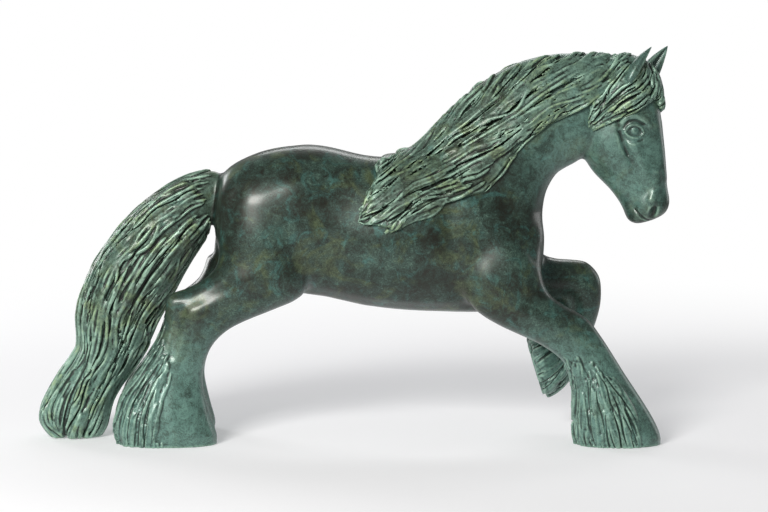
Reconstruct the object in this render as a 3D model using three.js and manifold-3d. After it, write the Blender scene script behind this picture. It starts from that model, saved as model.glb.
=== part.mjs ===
// A bronze figure of a feathered cob horse in a collected canter, cast in sections, pinned and welded.
// Millimetres, +Z up. The horse faces +X and its right side is towards -Y. The origin is on the ground,
// under the middle of the figure's length.
import * as THREE from "three";
import { mergeVertices } from "three/addons/utils/BufferGeometryUtils.js";
import Module from "manifold-3d";

const wasm = await Module();
wasm.setup();

// Driving dimensions.
const WALL = 5; // casting thickness of the hollow sections
const KERF = 0.3; // gap left at every weld and round every pin
const MANE_THICKNESS = 4;
const DOWEL_RADIUS = 3;
const DOWEL_LENGTH = 16;
const WALL_PIN_RADIUS = 1;
const WALL_PIN_LENGTH = 6;
const PLUG_RADIUS = 2.5;
const HEAD_TURN = THREE.MathUtils.degToRad(18); // the head looks a little to its right
const HEAD_PIVOT = new THREE.Vector3(152, 0, 0);
const REACH = 400; // longer than the figure, for cutting tools
const FINISH = 0.12; // how closely the small faces left by a cut follow the surface

const BRONZE = { color: 0x3f6258, roughness: 0.45, metalness: 0.6 };
const HAIR_BRONZE = { color: 0x5a8c78, roughness: 0.55, metalness: 0.5 };
const INNER_BRONZE = { color: 0x8a6a3c, roughness: 0.5, metalness: 0.9 };

// ---- Making solids ----

// A manifold solid of a closed three.js geometry.
function solid(geometry) {
  const bare = geometry.clone();
  bare.deleteAttribute("normal");
  bare.deleteAttribute("uv");
  const merged = mergeVertices(bare, 1e-4);
  const made = new wasm.Manifold(
    new wasm.Mesh({
      numProp: 3,
      vertProperties: merged.attributes.position.array,
      triVerts: new Uint32Array(merged.index.array),
    }),
  );
  return made;
}

// A ring is [x, z of its first edge, x, z of its second edge, middle y, half width, egg].
// Both edges lie on the outline seen from the side, and egg above 0 makes the first edge's half broader.
// The body runs smoothly through its rings and is flat at both ends. grow moves its skin out, or in below 0.
function loft(rings, { around = 16, rows = 2, grow = 0, square = 1 } = {}) {
  const along = (place) => new THREE.CatmullRomCurve3(rings.map(place), false, "catmullrom");
  const first = along((r) => new THREE.Vector3(r[0], 0, r[1]));
  const second = along((r) => new THREE.Vector3(r[2], 0, r[3]));
  const width = along((r) => new THREE.Vector3(r[4], r[5], r[6] ?? 0));
  const stations = (rings.length - 1) * rows;
  const bands = stations + 2;
  const geometry = new THREE.SphereGeometry(1, around, bands);
  const position = geometry.attributes.position;
  const soften = (v) => Math.sign(v) * Math.abs(v) ** square;
  for (let band = 0; band <= bands; band++) {
    const t = Math.min(Math.max(band - 1, 0), stations) / stations;
    const a = first.getPoint(t);
    const b = second.getPoint(t);
    const { x: y, y: halfWidth, z: egg } = width.getPoint(t);
    const middle = a.clone().add(b).multiplyScalar(0.5);
    const half = a.clone().sub(b).multiplyScalar(0.5);
    half.setLength(Math.max(half.length() + grow, 0.5));
    const side = Math.max(halfWidth + grow, 0.5);
    const isPole = band === 0 || band === bands;
    for (let i = 0; i <= around; i++) {
      const angle = (i % around) * ((2 * Math.PI) / around);
      const along = isPole ? 0 : soften(Math.cos(angle));
      const across = isPole ? 0 : soften(Math.sin(angle)) * side * (1 + egg * along);
      position.setXYZ(
        band * (around + 1) + i,
        middle.x + half.x * along,
        y + across,
        middle.z + half.z * along,
      );
    }
  }
  const made = solid(geometry);
  if (made.volume() > 0) return made;
  geometry.index.array.reverse();
  return solid(geometry);
}

// The part of a body on the far side of the upright plane through two points of the side view, which lies to
// the left of the way from p to q. gap keeps it clear of the plane.
function leftOf(body, p, q, gap = 0) {
  const normal = new THREE.Vector3(-(q[1] - p[1]), 0, q[0] - p[0]).normalize();
  const offset = normal.x * p[0] + normal.z * p[1] + gap;
  return body.trimByPlane(normal.toArray(), offset);
}

const rightOf = (body, p, q, gap = 0) => leftOf(body, q, p, gap);

// A prism of a side-view outline between two values of y.
function prism(outline, yLow, yHigh) {
  const shape = new THREE.Shape(outline.map(([x, z]) => new THREE.Vector2(x, z)));
  const geometry = new THREE.ExtrudeGeometry(shape, { depth: yHigh - yLow, bevelEnabled: false });
  geometry.rotateX(Math.PI / 2);
  geometry.translate(0, yHigh, 0);
  return solid(geometry);
}

// A round bar centred at a point and lying along a direction.
function bar(centre, direction, radius, length, sides = 12) {
  const geometry = new THREE.CylinderGeometry(radius, radius, length, sides);
  const turn = new THREE.Quaternion().setFromUnitVectors(
    new THREE.Vector3(0, 1, 0),
    new THREE.Vector3(...direction).normalize(),
  );
  geometry.applyQuaternion(turn);
  geometry.translate(...centre);
  return solid(geometry);
}

const join = (...bodies) => bodies.reduce((whole, body) => whole.add(body));

// The head's own shapes are drawn looking straight ahead, then turned.
function turnedHead(body) {
  return body
    .translate(HEAD_PIVOT.clone().negate().toArray())
    .rotate([0, 0, THREE.MathUtils.radToDeg(-HEAD_TURN)])
    .translate(HEAD_PIVOT.toArray());
}

const mirrored = (rings) => rings.map(([x1, z1, x2, z2, y, w, egg]) => [x1, z1, x2, z2, -y, w, egg]);

// ---- The figure's masses, as rings ----

const TORSO = [
  [-86, 165, -90, 141.5, 0, 12],
  [-83, 172.5, -90, 127.5, 0, 25],
  [-75, 177.5, -84, 112.5, 0, 33],
  [-60, 184, -68, 100.5, 0, 38],
  [-38, 187.5, -45, 93.5, 0, 39.5],
  [-18, 186, -20, 90, 0, 38],
  [2, 181, 4, 84.5, 0, 38.5, -0.04],
  [22, 179.5, 30, 81.5, 0, 39.5, -0.05],
  [46, 183.5, 52, 80.5, 0, 38, -0.04],
  [70, 181.5, 75, 80, 0, 36],
  [94, 169.5, 95, 81.5, 0, 33],
  [109, 157.5, 109, 87.5, 0, 27],
  [116, 145.5, 115.5, 98.5, 0, 19],
  [119, 133.5, 118, 112.5, 0, 9],
];

const NECK = [
  [22, 170.5, 104, 107.5, 0, 33, -0.1],
  [38, 183.5, 113, 125.5, 0, 31, -0.12],
  [53, 198.5, 117.5, 141.5, 0, 27, -0.15],
  [72, 218.5, 120.5, 156.5, 0, 23, -0.18],
  [94, 233.5, 127, 167.5, -1, 20, -0.2],
  [118, 241.5, 134, 173.5, -2, 18, -0.2],
  [140, 242.5, 139.5, 176.5, -2.5, 17, -0.15],
  [158, 241.5, 147, 185.5, -2, 15.5, 0],
  [170, 236.5, 154, 197.5, -2, 12, 0],
];

const HEAD = [
  [173, 242.5, 157, 234.5, 0, 9],
  [184, 236.5, 148, 222.5, 0, 13.5, 0.05],
  [189.5, 225.5, 143.5, 205.5, 0, 16.5, 0.05],
  [192, 211.5, 141.5, 191.5, 0, 17.5],
  [193.5, 197.5, 143, 179.5, 0, 17, -0.05],
  [195, 184.5, 150.5, 168.5, 0, 14.5, -0.05],
  [196, 172.5, 160, 159.5, 0, 12],
  [197.5, 160.5, 167, 150.5, 0, 10.5],
  [199, 151.5, 170, 144.5, 0, 10.8],
  [196, 144.5, 172.5, 139.5, 0, 9.5],
  [188, 140, 178, 137.5, 0, 6],
];

// The right ear; the left one mirrors it.
const EAR = [
  [180, 228, 174, 233, -9, 3],
  [185, 232.5, 178, 238.5, -10.2, 3.8],
  [189.5, 238.5, 183.5, 243.5, -11.4, 3.1],
  [192.5, 244.5, 189.5, 247.5, -12.3, 1.9],
  [194, 248.5, 193, 249.5, -12.8, 0.6],
];

const HIND_RIGHT = [
  [-38, 158.5, -78, 162.5, -16, 16],
  [-28, 135.5, -85, 142.5, -20, 20],
  [-27, 111.5, -87, 125.5, -22, 19],
  [-32, 94.5, -88, 113.5, -23, 17.5],
  [-50, 85.5, -95, 105, -23.5, 15.5],
  [-65, 79.5, -107.5, 98, -24, 13.5],
  [-79, 73, -118.5, 93.5, -25, 12],
  [-89, 64.5, -121, 79.5, -25.5, 11],
  [-95, 53.5, -125.5, 65.5, -26, 11],
  [-97, 41.5, -136, 47.5, -26, 12.5],
  [-95.5, 29.5, -146, 34, -26.5, 15],
  [-91.5, 16, -152, 18, -27, 17.5],
  [-88, 6.5, -153.5, 8, -27, 18],
  [-88, 0, -150, 0, -27, 17],
];

const HIND_LEFT = [
  [-42, 156.5, -82, 162.5, 16, 16],
  [-33, 133.5, -93, 142.5, 20, 20],
  [-33, 110.5, -96, 124.5, 22, 19],
  [-39, 93.5, -98, 111.5, 23, 17.5],
  [-55, 83.5, -103, 99.5, 23.5, 15.5],
  [-70, 75.5, -113, 91.5, 24, 13.5],
  [-83, 68, -121.5, 84.5, 25, 12],
  [-92, 58.5, -125, 71.5, 25.5, 11],
  [-97.5, 48.5, -130, 58.5, 26, 11],
  [-99.5, 38, -141, 42.5, 26, 12.5],
  [-98, 28, -150, 31.5, 26.5, 15],
  [-95, 15.5, -156, 17, 27, 17.5],
  [-92.5, 6.5, -157.5, 7, 27, 18],
  [-93, 0, -154, 0, 27, 17],
];

const FORE_RIGHT = [
  [99, 138.5, 64, 135.5, -14, 16],
  [110, 128.5, 59, 113.5, -19, 18],
  [115.5, 114.5, 66, 91.5, -22, 17],
  [117.5, 100.5, 82, 78.5, -24, 16],
  [125, 91, 98, 70.5, -25, 14.5],
  [136, 84.5, 113.5, 63.5, -25.5, 13],
  [145, 79, 125.5, 55.5, -26, 12],
  [152, 70, 132, 48, -26, 11.5],
  [159, 59.5, 134.5, 40.5, -26, 12],
  [168, 45, 135.5, 32.5, -26, 14],
  [177, 31.5, 135.5, 22, -26.5, 16],
  [185, 19, 135.5, 11.5, -27, 17.5],
  [190.5, 8, 136, 4.5, -27, 18],
  [192, 0, 138.5, 0, -27, 17],
];

const FORE_LEFT = [
  [90, 143.5, 66, 117.5, 15, 16],
  [105, 128.5, 84, 93.5, 19, 17],
  [121, 114, 107, 81.5, 22, 15],
  [136, 111.5, 125, 82, 24, 13],
  [148, 109, 130, 82.5, 25, 12.5],
  [155.5, 101.5, 131.5, 81, 25.5, 12.5],
  [157.5, 92.5, 132, 78.5, 26, 12],
  [157, 80.5, 133, 74.5, 26, 11],
  [153, 66.5, 132.5, 69, 26, 11],
  [147.5, 52.5, 126, 66.5, 26, 12],
  [141, 38.5, 118, 70.5, 26, 14.5],
  [133.5, 28.5, 112.5, 73.5, 26, 17],
  [126, 23, 109, 73, 26, 18],
  [122, 21, 107.5, 70, 26, 17],
];

const TAIL = [
  [-87, 172, -94, 132.5, 0, 9],
  [-99, 169, -100, 125.5, 0, 13],
  [-118, 160, -107, 115.5, 0, 16],
  [-139.5, 144, -114, 102.5, 0, 18, 0.2],
  [-158, 123.5, -122, 87.5, 0, 19, 0.35],
  [-171.5, 99.5, -129, 73.5, 0, 19, 0.45],
  [-176.5, 77.5, -135, 61.5, 0, 18, 0.45],
  [-176, 58.5, -143, 48.5, 0, 18, 0.45],
  [-188, 40.5, -153, 35.5, 0, 19, 0.4],
  [-198, 23.5, -160, 20.5, 0, 19, 0.3],
  [-201, 11.5, -163, 7.5, 0, 16, 0.15],
  [-193, 1.5, -168, 0.5, 0, 9],
];

// Outlines of the hair that lies on each side, as seen from the right.
const MANE_RIGHT = [
  [14, 179.5], [12, 167.5], [8, 155.5], [0, 140.5], [12, 138.5], [24, 135.5], [40, 147.5], [60, 154.5],
  [80, 159.5], [92, 173.5],
  [104, 189.5], [122, 203.5], [144, 211.5], [158, 219.5], [164, 231.5], [168, 257.5], [110, 261.5],
  [60, 235.5], [36, 201.5],
];
const MANE_LEFT = [
  [24, 179.5], [34, 175.5], [56, 185.5], [80, 203.5], [104, 215.5], [134, 221.5], [156, 227.5],
  [168, 257.5], [110, 261.5],
  [60, 235.5], [36, 201.5],
];
const FORELOCK_RIGHT = [
  [188, 247.5], [197, 235.5], [194, 223.5], [186, 214.5], [176, 208.5], [168, 203.5], [158, 199.5],
  [150, 192.5], [147, 184.5],
  [144, 191.5], [149, 205.5], [158, 214.5], [168, 221.5], [176, 227.5], [180, 237.5],
];
const FORELOCK_LEFT = [
  [184, 247.5], [205, 241.5], [205, 209.5], [190, 208.5], [181, 215.5], [174, 226.5], [177, 239.5],
];

// Two points of each upright saw cut, seen from the side. The piece named lies to the left of the way
// between them.
const NECK_CUT = [[20, 185.5], [122, 129.5]];
const HEAD_CUT = [[160, 252.5], [139, 175.5]];
const TAIL_CUT = [[-91, 129.5], [-86, 179.5]];
const LIMBS = {
  hind_leg_right: { rings: HIND_RIGHT, cut: [[-42, 86.5], [-97, 115.5]], dowelY: -23 },
  hind_leg_left: { rings: HIND_LEFT, cut: [[-42, 86.5], [-97, 115.5]], dowelY: 23 },
  fore_leg_right: { rings: FORE_RIGHT, cut: [[124, 102.5], [92, 68.5]], dowelY: -25 },
  fore_leg_left_raised: { rings: FORE_LEFT, cut: [[119, 118.5], [104, 74.5]], dowelY: 23 },
};

// Core pins held the clay cores in the mould, and the holes that they leave are plugged, on both sides.
const CORE_PLUGS = { torso: [[-30, 146], [58, 124]], neck: [[100, 192]], tail: [[-148, 106]] };
const BELLY_PATCH = { x: [18, 56], y: [-12, 12], z: [74, 92] };

// ---- Masses ----

const TORSO_SHAPE = { around: 20, rows: 2, square: 0.92 };
const NECK_SHAPE = { around: 18, rows: 2, square: 0.95 };
const HEAD_SHAPE = { around: 16, rows: 2, square: 0.9 };
const LIMB_SHAPE = { around: 14, rows: 2, square: 0.95 };
const TAIL_SHAPE = { around: 16, rows: 2 };

const head = (grow) => turnedHead(loft(HEAD, { ...HEAD_SHAPE, grow }));
const trunk = (grow = 0) =>
  join(loft(TORSO, { ...TORSO_SHAPE, grow }), loft(NECK, { ...NECK_SHAPE, grow }), head(grow));
const ears = (rings, grow = 0) => turnedHead(loft(rings, { around: 8, rows: 2, grow }));

// The clay core that leaves the trunk hollow, from the croup to the forehead.
const trunkCore = join(
  loft(TORSO.slice(2, -2), { around: 12, rows: 1, square: 0.92, grow: -WALL }),
  loft(NECK.slice(0, -1), { around: 12, rows: 1, square: 0.95, grow: -WALL }),
  turnedHead(loft(HEAD.slice(1, 7), { around: 12, rows: 1, square: 0.9, grow: -WALL })),
);
const tailCore = loft(TAIL.slice(1, -3), { around: 10, rows: 1, grow: -WALL });

// ---- Sections ----

const bare = trunk();
const clearOfTrunk = trunk(KERF);
const sections = {};

sections.torso = rightOf(bare, ...NECK_CUT);
for (const [name, { rings, cut }] of Object.entries(LIMBS)) {
  const whole = loft(rings, LIMB_SHAPE);
  sections.torso = sections.torso.add(rightOf(whole, ...cut));
  sections[name] = leftOf(whole, ...cut, KERF).subtract(clearOfTrunk);
}
sections.torso = rightOf(sections.torso, ...TAIL_CUT).subtract(trunkCore);
sections.neck = rightOf(leftOf(bare, ...NECK_CUT, KERF), ...HEAD_CUT).subtract(trunkCore);
sections.head = leftOf(leftOf(bare, ...NECK_CUT, KERF), ...HEAD_CUT, KERF).subtract(trunkCore);
sections.tail = leftOf(loft(TAIL, TAIL_SHAPE), ...TAIL_CUT, KERF).subtract(tailCore);

// Ears are cast on their own and welded to the poll.
const LEFT_EAR = mirrored(EAR);
sections.ear_right = ears(EAR).subtract(clearOfTrunk);
sections.ear_left = ears(LEFT_EAR).subtract(clearOfTrunk);
const clearOfEars = join(ears(EAR, KERF), ears(LEFT_EAR, KERF));

// Hair lies on the skin: it is what is between the skin and the skin pushed out, inside each side's outline.
const SIDES_MEET = 0.1; // how far each side's outline runs over the middle plane, so that the two join
function outlined(right, left) {
  return join(prism(right, -REACH, SIDES_MEET), prism(left, -SIDES_MEET, REACH));
}
function hair(outer, outlines) {
  return outer.intersect(outlines).subtract(clearOfTrunk).subtract(clearOfEars);
}
sections.forelock = hair(head(MANE_THICKNESS), turnedHead(outlined(FORELOCK_RIGHT, FORELOCK_LEFT)));
sections.mane = hair(trunk(MANE_THICKNESS), outlined(MANE_RIGHT, MANE_LEFT));

// ---- What holds the sections together ----

// A round pin sunk into both sides of a cut, with a hole round it in each section.
const pins = {};
function pin(name, [x, y, z], cut, radius, length, ...joined) {
  const [p, q] = cut;
  const direction = [-(q[1] - p[1]), 0, q[0] - p[0]];
  pins[name] = bar([x, y, z], direction, radius, length);
  const hole = bar([x, y, z], direction, radius + KERF, length + 2 * KERF);
  for (const section of joined) sections[section] = sections[section].subtract(hole);
}
for (const [name, { cut, dowelY }] of Object.entries(LIMBS)) {
  const [[x1, z1], [x2, z2]] = cut;
  const centre = [(x1 + x2) / 2, dowelY, (z1 + z2) / 2];
  pin(`${name}_dowel`, centre, cut, DOWEL_RADIUS, DOWEL_LENGTH, "torso", name);
}
pin("tail_dowel", [-88.5, 0, 154], TAIL_CUT, DOWEL_RADIUS, DOWEL_LENGTH, "torso", "tail");

// Wall pins sit in the middle of the wall, where a cut meets the top and the bottom of the trunk.
function wallPin(name, cut, t, y, ...joined) {
  const [[x1, z1], [x2, z2]] = cut;
  const centre = [x1 + (x2 - x1) * t, y, z1 + (z2 - z1) * t];
  pin(name, centre, cut, WALL_PIN_RADIUS, WALL_PIN_LENGTH, ...joined);
}
wallPin("neck_crest_pin", NECK_CUT, 0.135, 0, "torso", "neck");
wallPin("neck_chest_pin", NECK_CUT, 0.93, 0, "torso", "neck");
wallPin("poll_pin", HEAD_CUT, 0.175, -2, "neck", "head");
wallPin("throat_pin", HEAD_CUT, 0.94, -2, "neck", "head");

// The window that let the core out of the belly, and its patch.
function block({ x, y, z }, inset) {
  const size = [x, y, z].map(([low, high]) => high - low - 2 * inset);
  const geometry = new THREE.BoxGeometry(...size);
  geometry.translate(...[x, y, z].map(([low, high]) => (low + high) / 2));
  return solid(geometry);
}
const patch = sections.torso.intersect(block(BELLY_PATCH, KERF));
sections.torso = sections.torso.subtract(block(BELLY_PATCH, 0));

const plugs = {};
for (const [section, places] of Object.entries(CORE_PLUGS)) {
  places.forEach(([x, z], i) => {
    for (const [side, y] of [["right", -REACH / 4], ["left", REACH / 4]]) {
      const reach = REACH / 2 - 2 * KERF;
      const name = `${section}_core_plug_${side}${places.length > 1 ? `_${i + 1}` : ""}`;
      plugs[name] = sections[section].intersect(bar([x, y, z], [0, 1, 0], PLUG_RADIUS, reach));
      sections[section] = sections[section].subtract(bar([x, y, z], [0, 1, 0], PLUG_RADIUS + KERF, reach));
    }
  });
}

// ---- The figure ----

const figure = new THREE.Group();
function place(name, body, look) {
  const mesh = body.getMesh();
  const geometry = new THREE.BufferGeometry();
  geometry.setAttribute("position", new THREE.BufferAttribute(mesh.vertProperties, 3));
  geometry.setIndex(new THREE.BufferAttribute(mesh.triVerts, 1));
  geometry.computeVertexNormals();
  const placed = new THREE.Mesh(geometry, new THREE.MeshStandardMaterial(look));
  placed.name = name;
  figure.add(placed);
}

const HAIRY = ["tail", "mane", "forelock"];
for (const [name, body] of Object.entries(sections)) {
  place(name, body.simplify(FINISH), HAIRY.includes(name) ? HAIR_BRONZE : BRONZE);
}
place("belly_patch", patch, BRONZE);
for (const [name, body] of Object.entries(plugs)) place(name, body, BRONZE);
for (const [name, body] of Object.entries(pins)) place(name, body, INNER_BRONZE);

const box = new THREE.Box3().setFromObject(figure);
figure.position.set(-(box.min.x + box.max.x) / 2, -(box.min.y + box.max.y) / 2, -box.min.z);

export default figure;
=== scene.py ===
import math

import bmesh
import bpy
import numpy as np
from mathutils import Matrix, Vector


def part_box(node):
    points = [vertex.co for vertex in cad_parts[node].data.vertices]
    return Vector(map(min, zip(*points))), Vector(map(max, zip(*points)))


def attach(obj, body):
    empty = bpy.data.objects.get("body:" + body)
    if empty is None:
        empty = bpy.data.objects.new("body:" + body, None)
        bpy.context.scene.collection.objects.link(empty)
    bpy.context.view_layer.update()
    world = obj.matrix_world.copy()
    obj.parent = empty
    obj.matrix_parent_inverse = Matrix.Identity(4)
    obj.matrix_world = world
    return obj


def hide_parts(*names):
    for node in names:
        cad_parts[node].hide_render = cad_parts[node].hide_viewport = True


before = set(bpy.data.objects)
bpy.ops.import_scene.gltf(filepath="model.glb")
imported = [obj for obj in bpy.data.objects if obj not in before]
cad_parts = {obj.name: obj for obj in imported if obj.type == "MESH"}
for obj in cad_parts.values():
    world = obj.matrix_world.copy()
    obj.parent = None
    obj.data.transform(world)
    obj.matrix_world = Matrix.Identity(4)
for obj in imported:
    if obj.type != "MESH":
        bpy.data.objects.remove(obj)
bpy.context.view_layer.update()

import openvdb as vdb
from mathutils import Vector

MM = 0.001

# Voxel sizes.
SKIN_STEP = 1.25
PIECE_STEP = 1.5
LEG_STEP = 0.55
TAIL_STEP = 0.6
MANE_STEP = 0.5
FACE_STEP = 0.5

BAND = 15.0  # how far from the skin its field is known
SEAM_GROWTH = 0.3  # closes the gaps between the castings
HEAD_TURN = math.radians(18)  # towards the right
HEAD_PIVOT = 153.9
NOSTRIL_TILT = math.radians(22)
CUT_GAP = 0.3  # between two castings at a saw cut
SOLE_EDGE = 2.0  # height from which a hoof goes straight down
GROOVE_REACH = 1.8  # square millimetres over which a groove's depth is measured
COVER_BLUR = 2.0  # cells over which a hair casting's edge thins out
COMB_STEP = 2.8
STRAND_SIDES = 6

LIMBS = ("hind_leg_right", "hind_leg_left", "fore_leg_right", "fore_leg_left_raised")
HAIR_NODES = ("mane", "forelock")
EARS = ("ear_right", "ear_left")


# ---- Distance fields ----


class Field:
    """Distances to a surface on a regular grid, below zero inside it."""

    def __init__(self, low, step, values):
        self.low = np.asarray(low, float)
        self.step = step
        self.values = values

    def axes(self):
        return [self.low[i] + self.step * np.arange(n) for i, n in enumerate(self.values.shape)]

    def grid(self):
        return np.meshgrid(*self.axes(), indexing="ij", sparse=True)

    def sample(self, points):
        """The field at some places, by trilinear interpolation."""
        shape = np.array(self.values.shape)
        at = np.clip((points - self.low) / self.step, 0, shape - 1.001)
        cell = at.astype(np.int64)
        part = (at - cell).astype(np.float32)
        flat = self.values.ravel()
        strides = np.array([shape[1] * shape[2], shape[2], 1])
        base = cell @ strides
        total = np.zeros(len(points), np.float32)
        for corner in np.ndindex(2, 2, 2):
            weight = np.ones(len(points), np.float32)
            for axis, upper in enumerate(corner):
                weight *= part[:, axis] if upper else 1 - part[:, axis]
            total += weight * flat[base + int(np.dot(corner, strides))]
        return total

    def slope(self, points, reach=1.0):
        step = self.step * reach
        slopes = np.empty((len(points), 3), np.float32)
        for axis in range(3):
            offset = np.zeros(3)
            offset[axis] = step
            slopes[:, axis] = self.sample(points + offset) - self.sample(points - offset)
        return slopes / (2 * step)

    def normals(self, points, reach=1.0):
        return unit(self.slope(points, reach))


def unit(vectors):
    return vectors / np.maximum(np.linalg.norm(vectors, axis=-1, keepdims=True), 1e-9)


def corners_of(mesh):
    """A mesh's corners in millimetres."""
    place = np.empty(3 * len(mesh.vertices), np.float32)
    mesh.vertices.foreach_get("co", place)
    return place.reshape(-1, 3) / MM


def box_of(node):
    """A CAD node's low and high corner in millimetres."""
    return (np.array(corner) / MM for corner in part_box(node))


def cad_surface(names):
    """Corners in millimetres and triangles of some CAD nodes."""
    corners, triangles, count = [], [], 0
    for name in names:
        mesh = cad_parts[name].data
        mesh.calc_loop_triangles()
        faces = np.empty(3 * len(mesh.loop_triangles), np.int32)
        mesh.loop_triangles.foreach_get("vertices", faces)
        corners.append(corners_of(mesh))
        triangles.append(faces.reshape(-1, 3) + count)
        count += len(mesh.vertices)
    return np.concatenate(corners), np.concatenate(triangles).astype(np.uint32)


def aligned(low, high, step):
    """The first cell and the cell counts of a grid that holds a box."""
    first = np.floor(np.asarray(low) / step).astype(int)
    last = np.ceil(np.asarray(high) / step).astype(int)
    return first, tuple(int(n) for n in last - first + 1)


def distance_grid(points, faces, step, band):
    transform = vdb.createLinearTransform(step)
    key = "quads" if faces.shape[1] == 4 else "triangles"
    return vdb.FloatGrid.createLevelSetFromPolygons(
        np.ascontiguousarray(points, np.float32),
        transform=transform,
        halfWidth=band / step,
        **{key: np.ascontiguousarray(faces, np.uint32)},
    )


def dense(grid, first, shape):
    values = np.empty(shape, np.float32)
    grid.copyToArray(values, ijk=tuple(int(n) for n in first))
    return values


def blurred(values, sigma):
    """A Gaussian blur, sigma in cells."""
    reach = max(1, int(math.ceil(2.6 * sigma)))
    taps = np.exp(-0.5 * (np.arange(-reach, reach + 1) / sigma) ** 2)
    taps = (taps / taps.sum()).astype(np.float32)
    for axis in range(values.ndim):
        padded = np.pad(values, [(reach, reach) if a == axis else (0, 0) for a in range(values.ndim)], "edge")
        out = np.zeros_like(values)
        for i, tap in enumerate(taps):
            window = [slice(None)] * values.ndim
            window[axis] = slice(i, i + values.shape[axis])
            out += tap * padded[tuple(window)]
        values = out
    return values


def faired(values, sigma):
    """Smooths facets away but keeps round forms at their size."""
    once = blurred(values, sigma)
    return 2 * once - blurred(once, sigma)


def smoothstep(low, high, value):
    t = np.clip((value - low) / (high - low), 0, 1)
    return t * t * (3 - 2 * t)


def connected(points, quads, seed):
    """Only the connected surface that comes nearest to a place."""
    ends = np.concatenate([quads[:, [i, (i + 1) % 4]] for i in range(4)]).astype(np.int64)
    ends = np.concatenate([ends, ends[:, ::-1]])
    ends = ends[np.argsort(ends[:, 0], kind="stable")]
    at, starts = np.unique(ends[:, 0], return_index=True)
    label = np.arange(len(points))
    while True:
        new = label.copy()
        new[at] = np.minimum(label[at], np.minimum.reduceat(label[ends[:, 1]], starts))
        for _ in range(4):
            new = new[new]
        if np.array_equal(new, label):
            break
        label = new
    nearest = np.argmin(((points - np.asarray(seed)) ** 2).sum(1))
    keep = label == label[nearest]
    index = np.cumsum(keep) - 1
    faces = quads[keep[quads].all(1)]
    return points[keep], index[faces].astype(np.uint32)


def resampled(field, first, shape, step):
    """A field on a finer grid, by cubic B-splines, so that no grid lines show in the gloss."""
    values = field.values
    for axis in range(3):
        place = (step * (first[axis] + np.arange(shape[axis])) - field.low[axis]) / field.step
        cell = np.floor(place).astype(int)
        t = place - cell
        start = int(np.clip(cell[0] - 1, 0, values.shape[axis] - 1))
        stop = int(np.clip(cell[-1] + 3, start + 1, values.shape[axis]))
        window = tuple(slice(start, stop) if a == axis else slice(None) for a in range(3))
        weights = np.zeros((shape[axis], stop - start), np.float32)
        rows = np.arange(shape[axis])
        spline = ((1 - t) ** 3, 3 * t**3 - 6 * t**2 + 4, -3 * t**3 + 3 * t**2 + 3 * t + 1, t**3)
        for shift, weight in zip((-1, 0, 1, 2), spline):
            np.add.at(weights, (rows, np.clip(cell + shift - start, 0, stop - start - 1)), weight / 6)
        values = np.moveaxis(np.tensordot(weights, values[window], axes=(1, axis)), 0, axis)
    return Field(step * np.asarray(first, float), step, np.ascontiguousarray(values))


def region(node_names, margin, step, field):
    """The field round some CAD nodes, on a finer grid."""
    boxes = [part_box(name) for name in node_names]
    low = np.min([np.array(b[0]) for b in boxes], axis=0) / MM - margin
    high = np.max([np.array(b[1]) for b in boxes], axis=0) / MM + margin
    first, shape = aligned(low, high, step)
    return resampled(field, first, shape, step)


def skin_field():
    """The castings as one body without their inner hollows, smoothed most over the trunk."""
    body = [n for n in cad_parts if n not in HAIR_NODES + EARS]
    points, faces = cad_surface(body)
    low, high = points.min(0) - BAND, points.max(0) + BAND
    first, shape = aligned(low, high, SKIN_STEP)
    rough = distance_grid(points, faces, SKIN_STEP, 3 * SKIN_STEP)
    shell_points, shell_quads = rough.convertToQuads(SEAM_GROWTH)
    shell_points, shell_quads = connected(shell_points, shell_quads, (-199, 0, 20))
    values = dense(distance_grid(shell_points, shell_quads, SKIN_STEP, BAND), first, shape) + SEAM_GROWTH
    field = Field(SKIN_STEP * first, SKIN_STEP, values)
    x, y, z = field.grid()
    fine = faired(values, 1.7)
    broad = faired(values, 4.2)
    trunk = smoothstep(86, 108, z) * smoothstep(-92, -76, x) * (1 - smoothstep(112, 130, x))
    trunk = trunk * (1 - smoothstep(188, 205, z))
    field.values = (fine + (broad - fine) * trunk.astype(np.float32)).astype(np.float32)
    return field


# ---- Sculpting tools: each one moves the surface in by depth, or out when depth is negative ----


def window_of(field, points, reach):
    """The part of a field near some points: its slices and its places."""
    low = np.floor((points.min(0) - reach - field.low) / field.step).astype(int)
    high = np.ceil((points.max(0) + reach - field.low) / field.step).astype(int) + 1
    low = np.clip(low, 0, np.array(field.values.shape))
    high = np.clip(high, 0, np.array(field.values.shape))
    window = tuple(slice(int(a), int(b)) for a, b in zip(low, high))
    axes = [axis[part] for axis, part in zip(field.axes(), window)]
    return window, np.meshgrid(*axes, indexing="ij", sparse=True)


def press(field, centre, radii, depth, frame_of=None):
    """A soft dent or a bump round a point."""
    centre = np.asarray(centre, float)
    radii = np.asarray(radii, float)
    turn = np.eye(3) if frame_of is None else frame_of
    window, grid = window_of(field, centre[None], 2.6 * radii.max())
    if 0 in field.values[window].shape:
        return
    offset = [grid[i] - centre[i] for i in range(3)]
    away = 0
    for row in range(3):
        along = sum(turn[row, i] * offset[i] for i in range(3))
        away = away + (along / radii[row]) ** 2
    field.values[window] += (depth * np.exp(-away)).astype(np.float32)


def radii_along(points, radii):
    """A radius for each point of a line, from a few that are spread evenly over it."""
    places = np.linspace(0, 1, np.size(radii))
    return np.interp(np.linspace(0, 1, len(points)), places, np.atleast_1d(radii))


def nearest_stretch(grid, points, radii, measure):
    """The least of a measure, of square distance and radius, over the stretches of a line."""
    best = None
    for a, b, ra, rb in zip(points[:-1], points[1:], radii[:-1], radii[1:]):
        span = b - a
        along = sum((grid[i] - a[i]) * span[i] for i in range(3)) / float(span @ span)
        along = np.clip(along, 0, 1)
        away = sum((grid[i] - a[i] - along * span[i]) ** 2 for i in range(3))
        value = measure(away, ra + (rb - ra) * along)
        best = value if best is None else np.minimum(best, value)
    return best


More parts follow.
